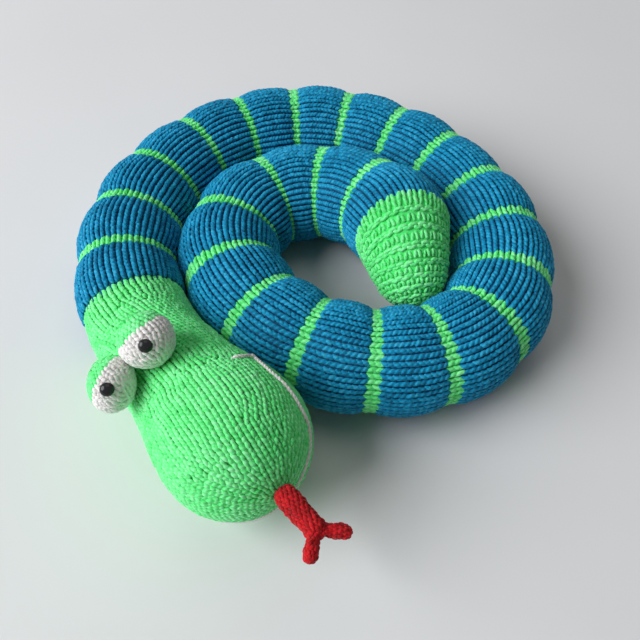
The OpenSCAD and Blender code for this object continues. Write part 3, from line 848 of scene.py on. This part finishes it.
# ---------------------------------------------------------------- tail
def tail_place(x):
    """The tail tip's own place, turned little by little from the body's direction to its own."""
    share = ease(x / 26.0)
    at = end_frame @ turn(-TAIL_TURN * share) @ nod(TAIL_DROP * share)
    at[:3, 3] = (tail_frame @ shift(x, 0, 0))[:3, 3]
    return at @ roll(TAIL_TILT)


tail_x = TAIL_LEN * np.sin(np.radians(np.linspace(0, 90, 50)))
tail_r = ((BODY_R + (TAIL_TIP_R - BODY_R) * tail_x / TAIL_LEN)
          * np.sqrt(np.clip(1 - (tail_x / TAIL_LEN) ** TAIL_BLUNT, 0, 1)))
tail_skin = profile_skin(tail_x, tail_r - SINK * (tail_r > SINK), tail_place)
cloth = Cloth()
stitches(cloth, tail_skin, [(ROW * (i + 0.5), ROW, ring(STITCHES)) for i in range(2)])
ups, hollows = [], []
for i, s in enumerate(np.arange(2 * ROW + 1.2, tail_skin.s[-1] - 1, GARTER / 2)):
    n = next(n for limit, n in TAIL_ROUNDS if tail_skin.radius(s) > limit)
    (hollows if i % 2 else ups).append((s, GARTER / 2, ring(n)))
ridges(cloth, tail_skin, ups)
legs(cloth, tail_skin, hollows)
# The backing's low tint paints shade in the hollows between the ridges
backing(cloth, tail_skin, 0, tail_skin.s[-1], depth=0.6, step=1.5, tint=-0.4)
finish_piece(cloth.piece("tail_knit", GREEN), "tail", ["tail_cover", "tail_filling"])

# ---------------------------------------------------------------- floor, light and camera
# Metres from here on. Between FADE_FROM and FADE_TO from the snake, the camera sees the floor fade to the backdrop
BACKDROP = srgb(212, 214, 216)
FADE_FROM, FADE_TO = 0.36, 0.85
FILL, FILL_STRENGTH = (1.0, 0.98, 0.86, 1), 0.06
FLOOR_HALF = 6


def floor_material():
    m, tree = new_material("table_top")
    colour = ramp(tree, noise(tree, 6), [(0, srgb(226, 226, 229)), (1, srgb(235, 236, 238))])
    top = node(tree, "BsdfPrincipled", {"Base Color": colour, "Roughness": 0.7})
    place = node(tree, "TexCoord").outputs["Object"]
    far = node(tree, "VectorMath", {0: place}, operation="LENGTH").outputs["Value"]
    fade = node(tree, "MapRange", {"Value": far, "From Min": FADE_FROM, "From Max": FADE_TO},
                interpolation_type="SMOOTHSTEP").outputs[0]
    camera_ray = node(tree, "LightPath").outputs["Is Camera Ray"]
    backdrop = node(tree, "Emission", {0: BACKDROP})
    mix = node(tree, "MixShader", {0: calc(tree, "MULTIPLY", fade, camera_ray),
                                   1: top.outputs[0], 2: backdrop.outputs[0]})
    node(tree, "OutputMaterial", {0: mix.outputs[0]})
    return m


me = bpy.data.meshes.new("floor")
corners = [(-FLOOR_HALF, -FLOOR_HALF, 0), (FLOOR_HALF, -FLOOR_HALF, 0), (FLOOR_HALF, FLOOR_HALF, 0),
           (-FLOOR_HALF, FLOOR_HALF, 0)]
me.from_pydata(corners, [], [(0, 1, 2, 3)])
me.materials.append(floor_material())
floor = bpy.data.objects.new("floor", me)
bpy.context.collection.objects.link(floor)

# World: a little warm fill for the object, and the backdrop for what the camera, gloss and glass see
world = bpy.data.worlds.new("room")
world.use_nodes = True
tree = world.node_tree
fill = tree.nodes["Background"]
fill.inputs[0].default_value = FILL
fill.inputs[1].default_value = FILL_STRENGTH
backdrop = node(tree, "Background", {0: BACKDROP})
ray = node(tree, "LightPath").outputs
seen = calc(tree, "ADD", ray["Is Camera Ray"], ray["Is Glossy Ray"], clamp=True)
seen = calc(tree, "ADD", seen, ray["Is Transmission Ray"], clamp=True)
mix = node(tree, "MixShader", {0: seen, 1: fill.outputs[0], 2: backdrop.outputs[0]})
tree.links.new(mix.outputs[0], tree.nodes["World Output"].inputs[0])
bpy.context.scene.world = world


def lamp(name, place, size, watts, colour):
    """A round lamp that shines on the middle of the table."""
    light = bpy.data.lights.new(name, "AREA")
    light.shape = "DISK"
    light.size = size
    light.energy = watts
    light.color = colour
    ob = bpy.data.objects.new(name, light)
    ob.location = place
    ob.rotation_euler = (-Vector(place)).to_track_quat("-Z", "Y").to_euler()
    bpy.context.collection.objects.link(ob)


lamp("window", (-2.2, -0.65, 1.65), 2.5, 101, (0.97, 0.985, 1.0))
lamp("overhead", (0.1, 0.5, 1.6), 1.5, 4.5, (1.0, 0.99, 0.96))

data = bpy.data.cameras.new("camera")
data.sensor_width = SENSOR
data.lens = FOCAL_PX / PICTURE_PX * SENSOR
data.clip_start = 0.01
camera = bpy.data.objects.new("camera", data)
camera_place = (np.array(CAMERA_AT) - MIDDLE) * MM
axes = np.stack([RIGHTWARD, UPWARD, -AHEAD, camera_place], 1)
camera.matrix_world = Matrix(axes.tolist() + [[0, 0, 0, 1]])
bpy.context.collection.objects.link(camera)
bpy.context.scene.camera = camera
bpy.context.scene.view_settings.view_transform = "Standard"
